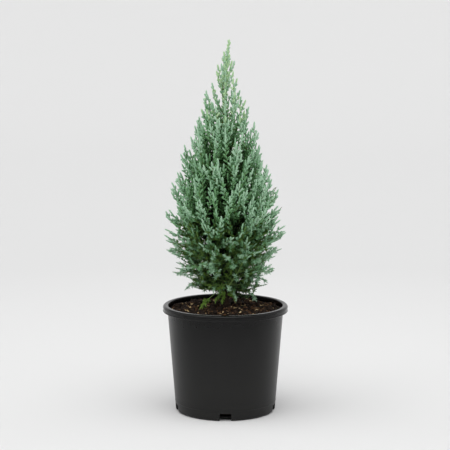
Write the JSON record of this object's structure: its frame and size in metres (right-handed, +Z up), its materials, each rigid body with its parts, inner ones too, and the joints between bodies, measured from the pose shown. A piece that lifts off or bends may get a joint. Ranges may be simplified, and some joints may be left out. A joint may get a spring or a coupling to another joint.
{
  "type": "potted chinese juniper",
  "caption": "Young Chinese juniper with a dense conical crown of blue-green needle sprays on rising boughs, in a round black nursery pot with drain notches at its foot.",
  "frame": {"origin": "middle of the pot's underside, on the surface it stands on", "axes": "+Z up along the pot's axis, -Y towards the front drain notch and the viewer"},
  "size_m": [0.225, 0.225, 0.6665],
  "materials": {
    "pot_plastic": "satin",
    "compost": "matte",
    "bark": "matte",
    "foliage": "matte"
  },
  "bodies": {
    "root": {"pot": "pot_plastic", "soil": "compost", "trunk": "bark", "bough_01": "bark", "bough_02": "bark", "bough_03": "bark", "bough_04": "bark", "bough_05": "bark", "bough_06": "bark", "bough_07": "bark", "bough_08": "bark", "bough_09": "bark", "bough_10": "bark", "bough_11": "bark", "bough_12": "bark", "bough_13": "bark", "bough_14": "bark", "foliage_01": "foliage", "foliage_02": "foliage", "foliage_03": "foliage", "foliage_04": "foliage", "foliage_05": "foliage", "foliage_06": "foliage", "foliage_07": "foliage", "foliage_08": "foliage", "foliage_09": "foliage", "foliage_10": "foliage", "foliage_11": "foliage", "foliage_12": "foliage", "foliage_13": "foliage", "foliage_14": "foliage", "foliage_15": "foliage", "foliage_16": "foliage", "foliage_17": "foliage", "foliage_18": "foliage", "foliage_19": "foliage", "foliage_20": "foliage", "foliage_21": "foliage", "foliage_22": "foliage", "foliage_23": "foliage", "foliage_24": "foliage", "foliage_25": "foliage", "foliage_26": "foliage", "foliage_27": "foliage", "foliage_28": "foliage", "foliage_29": "foliage", "foliage_30": "foliage", "foliage_31": "foliage", "foliage_32": "foliage", "foliage_33": "foliage", "foliage_34": "foliage", "foliage_35": "foliage", "foliage_36": "foliage", "foliage_37": "foliage", "foliage_38": "foliage", "foliage_39": "foliage", "foliage_40": "foliage", "foliage_41": "foliage", "foliage_42": "foliage", "foliage_leader": "foliage"}
  },
  "joints": []
}
